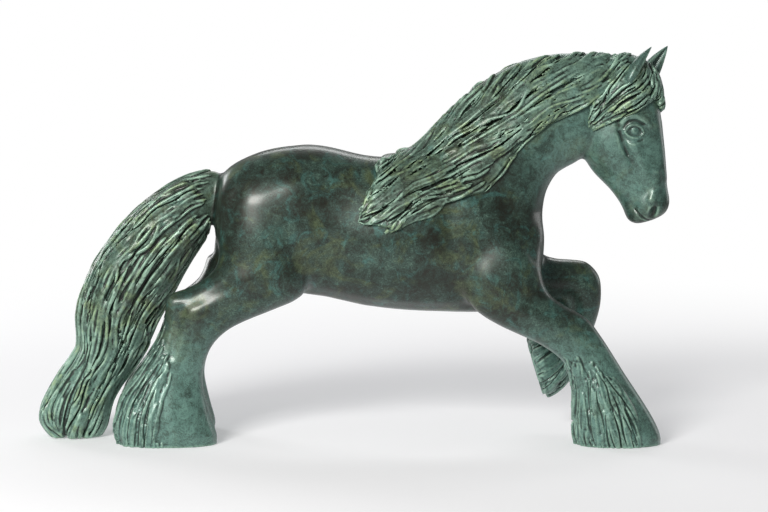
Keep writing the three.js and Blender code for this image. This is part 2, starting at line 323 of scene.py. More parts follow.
def crease(field, points, radii, depth):
    """A soft groove or a ridge along a line."""
    points = curve(points, 4)
    radii = radii_along(points, radii)
    window, grid = window_of(field, points, 2.6 * radii.max())
    if 0 in field.values[window].shape:
        return
    ratio = nearest_stretch(grid, points, radii, lambda away, radius: away / radius**2)
    field.values[window] += (depth * np.exp(-ratio)).astype(np.float32)


def melt(a, b, radius):
    """The union of two fields with a small fillet."""
    h = np.maximum(radius - np.abs(a - b), 0) / radius
    return np.minimum(a, b) - h * h * radius / 4


def curve(points, parts=6):
    """A Catmull-Rom curve through some points."""
    points = np.asarray(points, float)
    ends = np.vstack([2 * points[0] - points[1], points, 2 * points[-1] - points[-2]])
    out = []
    for a, b, c, d in zip(ends[:-3], ends[1:-2], ends[2:-1], ends[3:]):
        for t in np.arange(parts) / parts:
            square, cube = 2 * a - 5 * b + 4 * c - d, 3 * b - a - 3 * c + d
            out.append(0.5 * (2 * b + (c - a) * t + square * t**2 + cube * t**3))
    out.append(points[-1])
    return np.array(out)


def on_skin(field, x, z, side):
    """The skin's point beside (x, z), on the right for side -1 and on the left for side 1."""
    y = side * np.arange(60, -1, -0.25)
    points = np.column_stack([np.full(len(y), x), y, np.full(len(y), z)])
    inside = np.nonzero(field.sample(points) < 0)[0]
    return points[inside[0]] if len(inside) else np.array([x, 0.0, z])


def both_sides(field, tool, places, *settings):
    """Uses a tool on both flanks, at side-view places."""
    for side in (-1, 1):
        points = np.array([on_skin(field, x, z, side) for x, z in np.atleast_2d(places)])
        tool(field, points if tool is crease else points[0], *settings)


def sculpt_body(field):
    """Muscles and bones of the trunk and the legs."""
    both_sides(field, crease, [(-30, 95), (-24, 104), (-17, 116), (-14, 128)], (5, 6, 7, 8), 1.5)
    both_sides(field, press, (-42, 100), (13, 9, 11), -1.4)
    both_sides(field, press, (-36, 164), (13, 10, 9), -1.5)
    both_sides(field, press, (-8, 156), (17, 12, 15), 1.4)
    both_sides(field, press, (-62, 150), (16, 12, 20), -1.3)
    both_sides(field, crease, [(-74, 158), (-79, 140), (-82, 120)], (5, 6, 5), 1.1)
    both_sides(field, press, (20, 128), (26, 12, 22), -0.9)
    both_sides(field, crease, [(72, 158), (86, 138), (100, 116)], (10, 11, 9), -1.6)
    both_sides(field, crease, [(58, 142), (61, 122), (62, 102), (72, 86)], (7, 7, 6, 6), 1.7)
    both_sides(field, press, (82, 104), (14, 10, 12), -1.7)
    both_sides(field, press, (108, 108), (9, 9, 10), -1.5)
    both_sides(field, crease, [(96, 150), (106, 132), (112, 118)], (6, 6, 5), 1.2)
    both_sides(field, crease, [(128, 168), (119, 150), (112, 134)], (6, 7, 6), 1.3)
    for side in (-1, 1):
        face_dent(field, side, (161, 186), (13, 8, 14), -1.5)
    crease(field, [(-84, 0, 172), (-66, 0, 180), (-40, 0, 187)], (6, 7, 6), 1.5)
    crease(field, [(121, 0, 132), (121, 0, 112), (118, 0, 98)], (6, 7, 6), 1.8)
    sculpt_legs(field)


def sculpt_legs(field):
    """Hocks, gaskins, knees, a forearm and a tendon."""
    hocks = {-1: (-114, 90), 1: (-116, 85)}
    for side, (x, z) in hocks.items():
        press(field, on_skin(field, x, z, side), (6, 6, 7), -1.6)
        press(field, on_skin(field, x + 17, z - 8, side), (7, 5, 8), -1.0)
        channel = [on_skin(field, x + 6 - 2 * i, z - 6 - 9 * i, side) for i in range(4)]
        crease(field, channel, (3.5, 3, 2.5), 1.2)
        gaskin = [on_skin(field, x + 38 - 11 * i, z + 10 - 4 * i, side) for i in range(4)]
        crease(field, gaskin, (5, 5, 4), 1.0)
        press(field, on_skin(field, x + 45, z + 14, side), (12, 8, 9), -1.3)
    press(field, on_skin(field, 150, 76, -1), (9, 7, 8), -1.1)
    press(field, on_skin(field, 152, 100, 1), (9, 7, 9), -1.1)
    press(field, (151, 25, 114), (8, 9, 5), -1.2)
    forearm = [on_skin(field, 108 + 12 * i, 92 - 6 * i, -1) for i in range(4)]
    crease(field, forearm, (5, 5, 4), 1.0)
    tendon = [on_skin(field, 146 + 2 * i, 64 - 7 * i, -1) for i in range(3)]
    crease(field, tendon, (3, 3), 0.8)


# ---- The face, sculpted where it would be if the head looked straight ahead ----


def head_place(points):
    """Turns places on a straight head to where the turned head has them."""
    points = np.atleast_2d(np.asarray(points, float)).copy()
    c, s = math.cos(HEAD_TURN), math.sin(HEAD_TURN)
    x, y = points[:, 0] - HEAD_PIVOT, points[:, 1].copy()
    points[:, 0] = HEAD_PIVOT + c * x + s * y
    points[:, 1] = -s * x + c * y
    return points


HEAD_FRAME = np.array(
    [
        [math.cos(HEAD_TURN), -math.sin(HEAD_TURN), 0],
        [math.sin(HEAD_TURN), math.cos(HEAD_TURN), 0],
        [0, 0, 1],
    ]
)


def on_head(field, x, z, side, sink=0.0):
    """The skin's point beside (x, z) of a straight head."""
    y = side * np.arange(30, -1, -0.1)
    points = head_place(np.column_stack([np.full(len(y), x), y, np.full(len(y), z)]))
    inside = np.nonzero(field.sample(points) < 0)[0]
    point = points[inside[0]] if len(inside) else head_place((x, 0, z))[0]
    return point - sink * field.normals(point[None])[0]


def head_line(field, side, places, sink=0.0):
    return np.array([on_head(field, x, z, side, sink) for x, z in places])


def add_line(field, points, radii, fillet):
    """Adds a round bead along a line."""
    points = curve(points, 5)
    radii = radii_along(points, radii)
    window, grid = window_of(field, points, radii.max() + 3)
    bead = nearest_stretch(grid, points, radii, lambda away, radius: np.sqrt(away) - radius)
    field.values[window] = melt(field.values[window], bead.astype(np.float32), fillet)


def add_ball(field, centre, radius, fillet):
    window, grid = window_of(field, np.asarray(centre)[None], radius + 3)
    away = np.sqrt(sum((grid[i] - centre[i]) ** 2 for i in range(3))) - radius
    field.values[window] = melt(field.values[window], away.astype(np.float32), fillet)


def face_groove(field, side, places, radii, depth):
    crease(field, head_line(field, side, places), radii, depth)


def face_dent(field, side, place, radii, depth):
    press(field, on_head(field, *place, side), radii, depth, HEAD_FRAME)


def sculpt_face(field):
    """Cheek grooves, the ridges of the nose, and the eye and the muzzle of each side."""
    for side in (-1, 1):
        face_groove(field, side, [(171, 203), (173, 196), (175, 188), (179, 178)], (1.6, 2.2), 1.3)
        face_groove(field, side, [(172, 196), (174.5, 188), (176.5, 182)], (1.2, 1.5, 1.0), 1.7)
        face_groove(field, side, [(155, 173), (164, 168), (175, 162)], (4, 4), 0.9)
        face_groove(field, side, [(181, 188), (186, 176), (190, 166)], (4, 3.5), -0.9)
        face_groove(field, side, [(194, 200), (196, 184), (198, 168)], (4, 3), -0.5)
        face_dent(field, side, (182, 171), (7, 5, 9), 0.7)
        face_dent(field, side, (178, 209), (7, 5, 5), 0.9)
        sculpt_eye(field, side)
        sculpt_muzzle(field, side)
    crease(field, head_place([(200, 0, 166), (201, 0, 158), (200, 0, 150)]), (5, 4), 0.3)


def sculpt_eye(field, side):
    """A ball in its socket, with a brow, a fold, two lids and a bag under them."""
    x, z = 181, 197
    face_dent(field, side, (x, z), (6.5, 5, 5.5), 1.7)
    brow = head_line(field, side, [(173, 202), (177, 205.5), (182, 206), (187, 203.5), (190, 199.5)], 0.2)
    add_line(field, brow, (0.9, 1.9, 1.8, 0.8), 2.2)
    add_ball(field, on_head(field, x, z, side, 2.5), 3.6, 0.5)
    fold = [(174.5, 199), (177.5, 202.3), (182, 203), (186.5, 200.8)]
    face_groove(field, side, fold, (0.8, 1.0, 0.8), 1.0)
    back, front = (175.2, 196), (186.6, 195.6)
    upper = head_line(field, side, [back, (177.4, 199.4), (181, 200.6), (184.6, 199), front], 0.1)
    add_line(field, upper, (0.5, 0.95, 1.0, 0.85, 0.5), 0.5)
    lower = head_line(field, side, [back, (177.6, 193.4), (181, 192.4), (184.4, 193), front], 0.2)
    add_line(field, lower, (0.5, 0.75, 0.8, 0.7, 0.5), 0.5)
    bag = [(174.5, 194), (177.5, 190.8), (181.5, 189.8), (185.5, 191)]
    face_groove(field, side, bag, (0.8, 0.9), 0.55)
    face_dent(field, side, (x + 0.6, z + 0.2), (1.3, 1.3, 1.0), 0.55)


def sculpt_muzzle(field, side):
    face_dent(field, side, (190, 150), (6, 5, 6), -1.3)
    face_groove(field, side, [(194, 170), (194, 162), (191.5, 154)], (2.6, 3.2, 2.4), -2.0)
    sculpt_nostril(field, side, 192, 145.6)
    mouth = [(194.5, 139.8), (189.5, 140.5), (184.5, 143.5), (180.5, 147.5)]
    face_groove(field, side, mouth, (0.9, 0.7), 0.9)
    face_dent(field, side, (182, 141), (4, 4, 3), -0.6)
    face_dent(field, side, (179.5, 149.5), (2.6, 3, 2.6), 0.6)


def sculpt_nostril(field, side, x, z):
    """A slanting hole with a rim behind and above it."""
    centre = on_head(field, x, z, side)
    c, s = math.cos(NOSTRIL_TILT), math.sin(NOSTRIL_TILT)
    rim = []
    for a in np.linspace(0.3 * math.pi, 1.05 * math.pi, 6):
        u, w = 2.4 * math.cos(a), 4.0 * math.sin(a)
        rim.append(on_head(field, x + u * c + w * s, z - u * s + w * c, side, 0.4))
    add_line(field, rim, (0.4, 0.9, 1.0, 0.5), 1.4)
    slant = np.array([[c, 0, -s], [0, 1, 0], [s, 0, c]])
    press(field, centre, (1.5, 3.8, 3.4), 6.0, slant @ HEAD_FRAME)


# ---- Hair ----

# Lines that the hair follows, root to tip, seen from the right.
MANE_FLOW = [
    [(37, 191), (17, 172)],
    [(61, 217), (52, 203), (42, 190), (30, 179), (16, 171)],
    [(81, 235), (71, 220), (61, 205), (50, 193), (37, 182), (14, 165)],
    [(101, 245), (93, 233), (86, 220), (76, 207), (61, 195), (44, 183), (12, 160)],
    [(119, 249), (109, 239), (99, 225), (91, 215), (84, 205)],
    [(150, 248), (136, 240), (121, 230), (106, 220), (99, 213), (81, 205), (56, 191)],
    [(165, 243), (150, 233), (136, 225), (121, 217), (106, 207), (91, 200), (71, 193), (52, 183), (32, 173),
     (12, 158)],
    [(170, 235), (155, 225), (141, 217), (126, 210), (109, 199), (96, 190), (81, 181), (61, 172), (42, 165),
     (27, 155), (12, 145), (3, 141)],
    [(104, 193), (93, 183), (76, 175), (56, 167), (42, 163), (27, 150), (10, 143)],
    [(91, 175), (81, 165), (61, 160), (47, 156), (37, 150), (24, 138)],
]
TAIL_FLOW = [
    [(-80, 175), (-98, 170), (-118, 160), (-133, 149), (-145, 136), (-156, 124), (-166, 106), (-172, 89),
     (-174, 73), (-173, 57), (-184, 41), (-195, 23), (-198, 12), (-194, 3)],
    [(-85, 155), (-104, 147), (-122, 132), (-138, 112), (-150, 90), (-155, 70), (-160, 52), (-170, 34),
     (-178, 16), (-180, 2)],
    [(-88, 133), (-100, 122), (-108, 109), (-118, 93), (-132, 74), (-138, 60), (-148, 42), (-158, 24),
     (-165, 8)],
]
HIND_FEATHER_FLOW = [
    [(-114, 90), (-121, 72), (-128, 57), (-140, 41), (-149, 23), (-153, 3)],
    [(-110, 72), (-118, 58), (-128, 42), (-136, 22), (-139, 1)],
    [(-106, 58), (-113, 44), (-119, 28), (-123, 12), (-124, 1)],
]
FORE_FEATHER_FLOW = [
    [(135, 54), (139, 40), (139, 20), (139, 2)],
    [(146, 55), (150, 40), (154, 20), (157, 2)],
    [(154, 60), (163, 44), (172, 24), (180, 2)],
]
RAISED_FEATHER_FLOW = [
    [(135, 74), (127, 71), (118, 70), (109, 68)],
    [(142, 66), (133, 58), (124, 52), (115, 46)],
    [(150, 58), (145, 47), (138, 36), (128, 24)],
]
FORELOCK_FLOW = [
    [(176, 247), (168, 236), (158, 224), (150, 212), (144, 199)],
    [(190, 242), (187, 232), (180, 223), (170, 218), (160, 212), (150, 205), (145, 190)],
    [(188, 240), (186, 228), (176, 219), (165, 212), (155, 203), (146, 193)],
    [(189, 236), (187, 222), (176, 211), (166, 205), (152, 202), (144, 191)],
]
# Between the mane and the forelock, behind the ears, seen from the side.
POLL_WEDGE = [(163, 247), (187, 247), (186, 238), (153, 200), (145, 200)]


class Flow:
    """The way hair lies, from lines seen from the side."""

    def __init__(self, lines, spread=5.0):
        fine = [curve(line, 8) for line in lines]
        self.places = np.concatenate([0.5 * (line[1:] + line[:-1]) for line in fine])
        self.ways = np.concatenate([unit(np.diff(line, axis=0)) for line in fine])
        self.spread = spread

    def way(self, points):
        gap = ((points[:, None, [0, 2]] - self.places[None]) ** 2).sum(-1)
        weight = 1 / (gap + self.spread**2) ** 2
        way = (weight[..., None] * self.ways[None]).sum(1)
        flat = unit(way)
        return np.column_stack([flat[:, 0], np.zeros(len(points)), flat[:, 1]])


def comb(field, starts, flow, lengths, rng, bend, roll):
    """Walks strands over a skin: each strand's points. Roll makes them fall away from the crest."""
    count = len(starts)
    steps = int(np.max(lengths) / COMB_STEP) + 1
    points = starts.astype(float).copy()
    phase = rng.uniform(0, 2 * math.pi, count)
    pace = rng.uniform(0.8, 1.3, count) * 2 * math.pi / 46
    sway = rng.normal(0, bend, count)
    lean = rng.normal(0, bend * 0.35, count)
    path = np.empty((count, steps, 3))
    for i in range(steps):
        up = field.normals(points)
        points = points - field.sample(points)[:, None] * up
        path[:, i] = points
        way = flow.way(points)
        if roll:
            fall = np.sign(points[:, 1]) * np.clip(up[:, 2], 0, 1) ** 2
            way = way + np.column_stack([np.zeros(count), roll * fall, np.zeros(count)])
        way = unit(way - (way * up).sum(1, keepdims=True) * up)
        across = np.cross(up, way)
        swing = sway * np.cos(phase + pace * i * COMB_STEP) + lean
        way = unit(way + swing[:, None] * across)
        points = points + way * (lengths / (steps - 1))[:, None]
    return path


def strand_surface(path, ups, width, height, root, tip):
    """Closed tapering tubes along strands: corners and quads."""
    count, steps, _ = path.shape
    sides = STRAND_SIDES
    along = np.gradient(path, axis=1)
    across = unit(np.cross(ups, unit(along)))
    ups = unit(np.cross(unit(along), across))
    s = np.linspace(0, 1, steps)
    taper = np.clip(s / root, 0, 1) ** 0.6 * np.clip((1 - s) / tip, 0, 1) ** 0.65
    taper = np.maximum(taper, 0.02)
    angle = 2 * math.pi * np.arange(sides) / sides
    wide = width[:, None] * taper[None]
    tall = height[:, None] * (0.25 + 0.75 * taper[None]) * np.minimum(1, taper[None] * 4)
    ring = (
        path[:, :, None]
        + (wide[..., None] * np.cos(angle))[..., None] * across[:, :, None]
        + (tall[..., None] * np.sin(angle))[..., None] * ups[:, :, None]
    )
    corners = ring.reshape(-1, 3)
    base = (np.arange(count) * steps * sides)[:, None, None]
    i = np.arange(steps - 1)[None, :, None] * sides
    j = np.arange(sides)[None, None, :]
    k = (j + 1) % sides
    near, far = base + i, base + i + sides
    quads = np.stack([near + j, near + k, far + k, far + j], -1).reshape(-1, 4)
    caps = []
    for end, order in ((0, 1), (steps - 1, -1)):
        first = base[:, 0, 0] + end * sides
        for a in range(1, sides - 2, 2):
            cap = np.column_stack([first, first + a + 2, first + a + 1, first + a])
            caps.append(cap[:, ::order])
    return corners, np.concatenate([quads] + caps)


def strand_field(field, strands):
    """The distance to a set of strands, on the grid of a field."""
    corners, quads, count = [], [], 0
    for points, faces in strands:
        corners.append(points)
        quads.append(faces + count)
        count += len(points)
    grid = distance_grid(np.concatenate(corners), np.concatenate(quads), field.step, 3 * field.step)
    first = np.round(field.low / field.step).astype(int)
    return dense(grid, first, field.values.shape)


def seeds_on(field, rng, count, low, high, accept):
    """Random places on a skin, inside a box and where accept says."""
    found = []
    total = 0
    while total < count:
        points = rng.uniform(low, high, (count * 6, 3))
        points = points[np.abs(field.sample(points)) < 5]
        for _ in range(3):
            points = points - field.sample(points)[:, None] * field.normals(points)
        points = points[np.abs(field.sample(points)) < 0.2]
        points = points[accept(points)]
        found.append(points)
        total += len(points)
    return np.concatenate(found)[:count]


# ---- Meshes ----


def surface_of(field):
    """The field's zero surface: corners on it to a fraction of a cell, and quads facing out."""
    grid = vdb.FloatGrid()
    limit = 3 * field.step
    grid.background = limit
    grid.copyFromArray(np.clip(field.values, -limit, limit))
    grid.transform = vdb.createLinearTransform(1.0)
    points, quads = grid.convertToQuads(0.0)
    points = points * field.step + field.low
    for _ in range(2):
        slope = field.slope(points, 0.5)
        square = np.maximum((slope**2).sum(1, keepdims=True), 0.2)
        move = field.sample(points)[:, None] * slope / square
        points = points - np.clip(move, -0.5 * field.step, 0.5 * field.step)
    return points, quads.astype(np.int32)


def hollow_of(points, quads, step):
    """How deep each corner lies in a groove, below zero on a ridge, in millimetres."""
    size = len(points)
    a = np.concatenate([quads[:, i] for i in range(4)])
    b = np.concatenate([quads[:, (i + 1) % 4] for i in range(4)])
    count = np.maximum(np.bincount(a, minlength=size) + np.bincount(b, minlength=size), 1)
    smooth = points.astype(float)
    rounds = max(1, round(GROOVE_REACH / step**2))
    for _ in range(rounds):
        sums = [np.bincount(a, smooth[b, i], size) + np.bincount(b, smooth[a, i], size) for i in range(3)]
        smooth = np.stack(sums, 1) / count[:, None]
    return (smooth - points) * (GROOVE_REACH / (rounds * step**2))


def make_piece(name, points, quads, hollow):
    """A smooth-shaded object, with the depth of its grooves as an attribute for the patina's painted shade
    and pale ridges.
    """
    mesh = bpy.data.meshes.new(name)
    mesh.vertices.add(len(points))
    mesh.vertices.foreach_set("co", (points * MM).astype(np.float32).ravel())
    mesh.loops.add(quads.size)
    mesh.loops.foreach_set("vertex_index", quads.astype(np.int32).ravel())
    mesh.polygons.add(len(quads))
    mesh.polygons.foreach_set("loop_start", np.arange(0, quads.size, 4, dtype=np.int32))
    mesh.update(calc_edges=True)
    mesh.validate()
    mesh.polygons.foreach_set("use_smooth", np.ones(len(mesh.polygons), bool))
    layer = mesh.attributes.new("hollow", "FLOAT", "POINT")
    layer.data.foreach_set("value", hollow.astype(np.float32))
    piece = bpy.data.objects.new(name, mesh)
    bpy.context.scene.collection.objects.link(piece)
    return piece


def cut_piece(piece, planes):
    """Keeps what lies in front of each plane and closes the cuts. A plane is a point, a normal and the flank
    that it cuts: -1 for the right, 1 for the left, 0 for both."""
    bm = bmesh.new()
    bm.from_mesh(piece.data)
    if any(side for _, _, side in planes):
        everything = bm.verts[:] + bm.edges[:] + bm.faces[:]
        bmesh.ops.bisect_plane(bm, geom=everything, dist=1e-7, plane_no=(0, 1, 0))
    for point, normal, side in planes:
        faces = [f for f in bm.faces if side == 0 or f.calc_center_median().y * side > 0]
        # Kept in order, unlike a set, so that every run gives the same mesh.
        edges = dict.fromkeys(e for f in faces for e in f.edges)
        verts = dict.fromkeys(v for f in faces for v in f.verts)
        bmesh.ops.bisect_plane(
            bm,
            geom=[*verts, *edges, *faces],
            dist=1e-7,
            plane_co=Vector(point) * MM,
            plane_no=Vector(normal),
            clear_inner=True,
        )
    open_edges = [e for e in bm.edges if e.is_boundary]
    if open_edges:
        for face in bmesh.ops.holes_fill(bm, edges=open_edges, sides=0)["faces"]:
            face.smooth = False
    bmesh.ops.triangulate(bm, faces=[f for f in bm.faces if len(f.verts) > 4])
    bm.to_mesh(piece.data)
    bm.free()


def trim(field, planes, margin):
    """Clears what lies well behind each plane, so that only the piece's own body is left to be meshed."""
    x, y, z = field.grid()
    for point, normal, side in planes:
        ahead = (x - point[0]) * normal[0] + (y - point[1]) * normal[1] + (z - point[2]) * normal[2]
        wall = (-(ahead + margin)).astype(np.float32)
        if side:
            wall = np.where(side * y > 0, wall, -BAND).astype(np.float32)
        field.values = np.maximum(field.values, wall)


def thin(piece, triangles, planes):
    """Takes triangles away where the surface is plain, but none along the saw cuts."""
    mesh = piece.data
    mesh.calc_loop_triangles()
    ratio = triangles / len(mesh.loop_triangles)
    if ratio >= 1:
        return
    place = corners_of(mesh)
    free = np.ones(len(place), bool)
    for point, normal, _ in planes:
        free &= np.abs((place - point) @ normal) > 0.9
    group = piece.vertex_groups.new(name="free")
    group.add(np.nonzero(free)[0].tolist(), 1.0, "REPLACE")
    modifier = piece.modifiers.new("thin", "DECIMATE")
    modifier.ratio = ratio
    modifier.vertex_group = "free"
    evaluated = piece.evaluated_get(bpy.context.evaluated_depsgraph_get())
    made = bpy.data.meshes.new_from_object(evaluated)
    piece.modifiers.clear()
    piece.vertex_groups.clear()
    piece.data = made


def set_normals(piece, field):
    """Takes the shading normals from the field, so that two pieces meet without a line."""
    mesh = piece.data
    normals = field.normals(corners_of(mesh), 1.2)
    mesh.normals_split_custom_set_from_vertices(normals.astype(float).tolist())


def flat_cut(node, other):
    """The saw cut between two castings: a point on it, its normal into the first one, and both flanks."""
    low, high = (np.array(c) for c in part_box(other))
    groups = {}
    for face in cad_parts[node].data.polygons:
        normal, centre = np.array(face.normal), np.array(face.center)
        if abs(normal[1]) > 0.02 or (centre < low - 0.002).any() or (centre > high + 0.002).any():
            continue
        key = (round(normal[0], 2), round(normal[2], 2), round(float(centre @ normal) / MM))
        groups.setdefault(key, []).append((face.area, centre, normal))
    faces = max(groups.values(), key=lambda group: sum(face[0] for face in group))
    area = sum(face[0] for face in faces)
    centre = sum(face[0] * face[1] for face in faces) / area
    normal = -sum(face[0] * face[2] for face in faces) / area
    return centre / MM - 0.5 * CUT_GAP * normal, normal, 0


def reverse(plane, side=0):
    """The same saw cut as the other casting has it, on one flank or on both."""
    return plane[0], -plane[1], side


def inside_outline(corners, x, z):
    """Which places of the side view lie inside an outline."""
    inside = np.zeros(x.shape, bool)
    for (ax, az), (bx, bz) in zip(corners, corners[1:] + corners[:1]):
        crosses = (az > z) != (bz > z)
        inside ^= crosses & (x < (bx - ax) * (z - az) / (bz - az + 1e-9) + ax)
    return inside.astype(np.float32)


class Cover:
    """How far a hair casting covers the skin, from its outlines as seen from each side."""

    def __init__(self, node, patch):
        points, faces = cad_surface([node])
        first, shape = aligned(points.min(0) - 12, points.max(0) + 12, SKIN_STEP)
        inside = dense(distance_grid(points, faces, SKIN_STEP, 3 * SKIN_STEP), first, shape) < 0.3
        y = SKIN_STEP * (first[1] + np.arange(shape[1]))
        self.low = SKIN_STEP * first
        right, left = (inside[:, side * y > -1].any(1).astype(np.float32) for side in (-1, 1))
        if patch is not None:
            x, z = (SKIN_STEP * (first[i] + np.arange(shape[i])) for i in (0, 2))
            extra = inside_outline(patch, *np.meshgrid(x, z, indexing="ij"))
            right, left = np.maximum(right, extra), np.maximum(left, extra)
        self.maps = [blurred(right, COVER_BLUR), blurred(left, COVER_BLUR)]

    def read(self, layer, x, z):
        u = np.clip((x - self.low[0]) / SKIN_STEP, 0, layer.shape[0] - 1.001)
        w = np.clip((z - self.low[2]) / SKIN_STEP, 0, layer.shape[1] - 1.001)
        i, k = u.astype(int), w.astype(int)
        u, w = u - i, w - k
        low = layer[i, k] * (1 - u) + layer[i + 1, k] * u
        high = layer[i, k + 1] * (1 - u) + layer[i + 1, k + 1] * u
        return low * (1 - w) + high * w

    def on_grid(self, field):
        x, y, z = field.axes()
        grid = np.meshgrid(x, z, indexing="ij")
        right, left = (self.read(layer, *grid)[:, None, :].astype(np.float32) for layer in self.maps)
        mix = smoothstep(-4, 4, y).astype(np.float32)[None, :, None]
        return right + (left - right) * mix

    def at(self, points):
        right, left = (self.read(layer, points[:, 0], points[:, 2]) for layer in self.maps)
        return right + (left - right) * smoothstep(-4, 4, points[:, 1])


# ---- Hair in locks ----


def stretch(path, ends):
    """Strands cut off at a part of their length, with as many points as before."""
    count, steps, _ = path.shape
    place = ends[:, None] * np.linspace(0, 1, steps)[None] * (steps - 1)
    low = np.clip(place.astype(int), 0, steps - 2)
    part = (place - low)[..., None]
    row = np.arange(count)[:, None]
    return path[row, low] * (1 - part) + path[row, low + 1] * part


def grow_locks(bed, starts, flow, rng, style, inside):
    """Locks of strands over a bed, from their starts on: tubes as corners and quads."""
    lengths = rng.uniform(*style["length"], len(starts))
    path = comb(bed, starts, flow, lengths, rng, 0.12, style.get("roll", 0.0))
    count, steps, _ = path.shape
    reached = inside(path.reshape(-1, 3)).reshape(count, steps)
    reached[:, 0] = True
    last = np.where(reached.all(1), steps - 1, np.argmin(reached, 1)) / (steps - 1)
    overrun = rng.uniform(*style.get("overrun", (-1, 2.5)), count)
    ends = np.minimum(last + overrun / lengths, 1.0)
    keep = ends * lengths > 7
    path, ends, lengths = path[keep], ends[keep], lengths[keep]
    path = stretch(path, ends)
    count = len(path)
    each = style["strands"]
    s = np.linspace(0, 1, steps)
    gather = smoothstep(-0.15, 0.3, s) * (1 - 0.8 * s**2.2)
    spread = np.linspace(-1, 1, each) if each > 1 else np.zeros(1)
    offset = spread[None] + rng.normal(0, 0.16, (count, each))
    half = style["lock"] * rng.uniform(0.75, 1.25, count)
    ripple = rng.normal(0, 0.22, (count, each, 1)) * np.sin(
        rng.uniform(0, 6.28, (count, each, 1)) + s[None, None] * (lengths * ends)[:, None, None] * 0.16
    )
    across = half[:, None, None] * (offset[..., None] * gather[None, None] + ripple)
    rise = style["crown"] * (1 - np.clip(offset, -1.2, 1.2) ** 2)[..., None] * gather[None, None]
    rise = rise + rng.uniform(*style["lift"], (count, each, 1)) * np.ones(steps)
    rise = rise + rng.uniform(0, style.get("stack", 0.0), (count, 1, 1)) * gather
    along = unit(np.gradient(path, axis=1))
    flat = path.reshape(-1, 3)
    ups = bed.normals(flat).reshape(path.shape)
    side_way = unit(np.cross(ups, along))
    strand = path[:, None] + across[..., None] * side_way[:, None]
    begin = rng.uniform(0, 0.22, (count, each)).ravel()
    finish = 1 - rng.uniform(0, 0.18, (count, each)).ravel() - 0.16 * np.abs(offset).ravel() ** 2
    strand = strand.reshape(-1, steps, 3)
    place = (begin[:, None] + (finish - begin)[:, None] * s[None]) * (steps - 1)
    low = np.clip(place.astype(int), 0, steps - 2)
    part = place - low
    row = np.arange(len(strand))[:, None]
    strand = strand[row, low] * (1 - part[..., None]) + strand[row, low + 1] * part[..., None]
    height = rise.reshape(-1, steps)
    height = height[row, low] * (1 - part) + height[row, low + 1] * part
    points, rise = strand.reshape(-1, 3), height.ravel()
    for _ in range(2):
        points = points - (bed.sample(points) - rise)[:, None] * bed.normals(points)
    strand = points.reshape(strand.shape)
    ups = bed.normals(points).reshape(strand.shape)
    wide = style["width"] * rng.uniform(0.7, 1.3, len(strand))
    tall = wide * style["tall"]
    return strand_surface(strand, ups, wide, tall, style.get("root", 0.1), style.get("tip", 0.4))


# ---- Materials ----

# Colours of the bronze and its patina, from the deepest to the palest. The deepest also serves as painted
# shade in the grooves.
SOOT_AND_SHADE = (0.006, 0.008, 0.006)
UMBER = (0.020, 0.021, 0.014)
DEEP_GREEN = (0.020, 0.036, 0.027)
VERDIGRIS = (0.046, 0.094, 0.073)
OLIVE = (0.076, 0.100, 0.040)
TEAL = (0.050, 0.145, 0.128)
SEAFOAM = (0.150, 0.290, 0.245)
MINT = (0.310, 0.480, 0.370)
STRAW = (0.300, 0.425, 0.245)
RAW_BRONZE = (0.240, 0.120, 0.045)


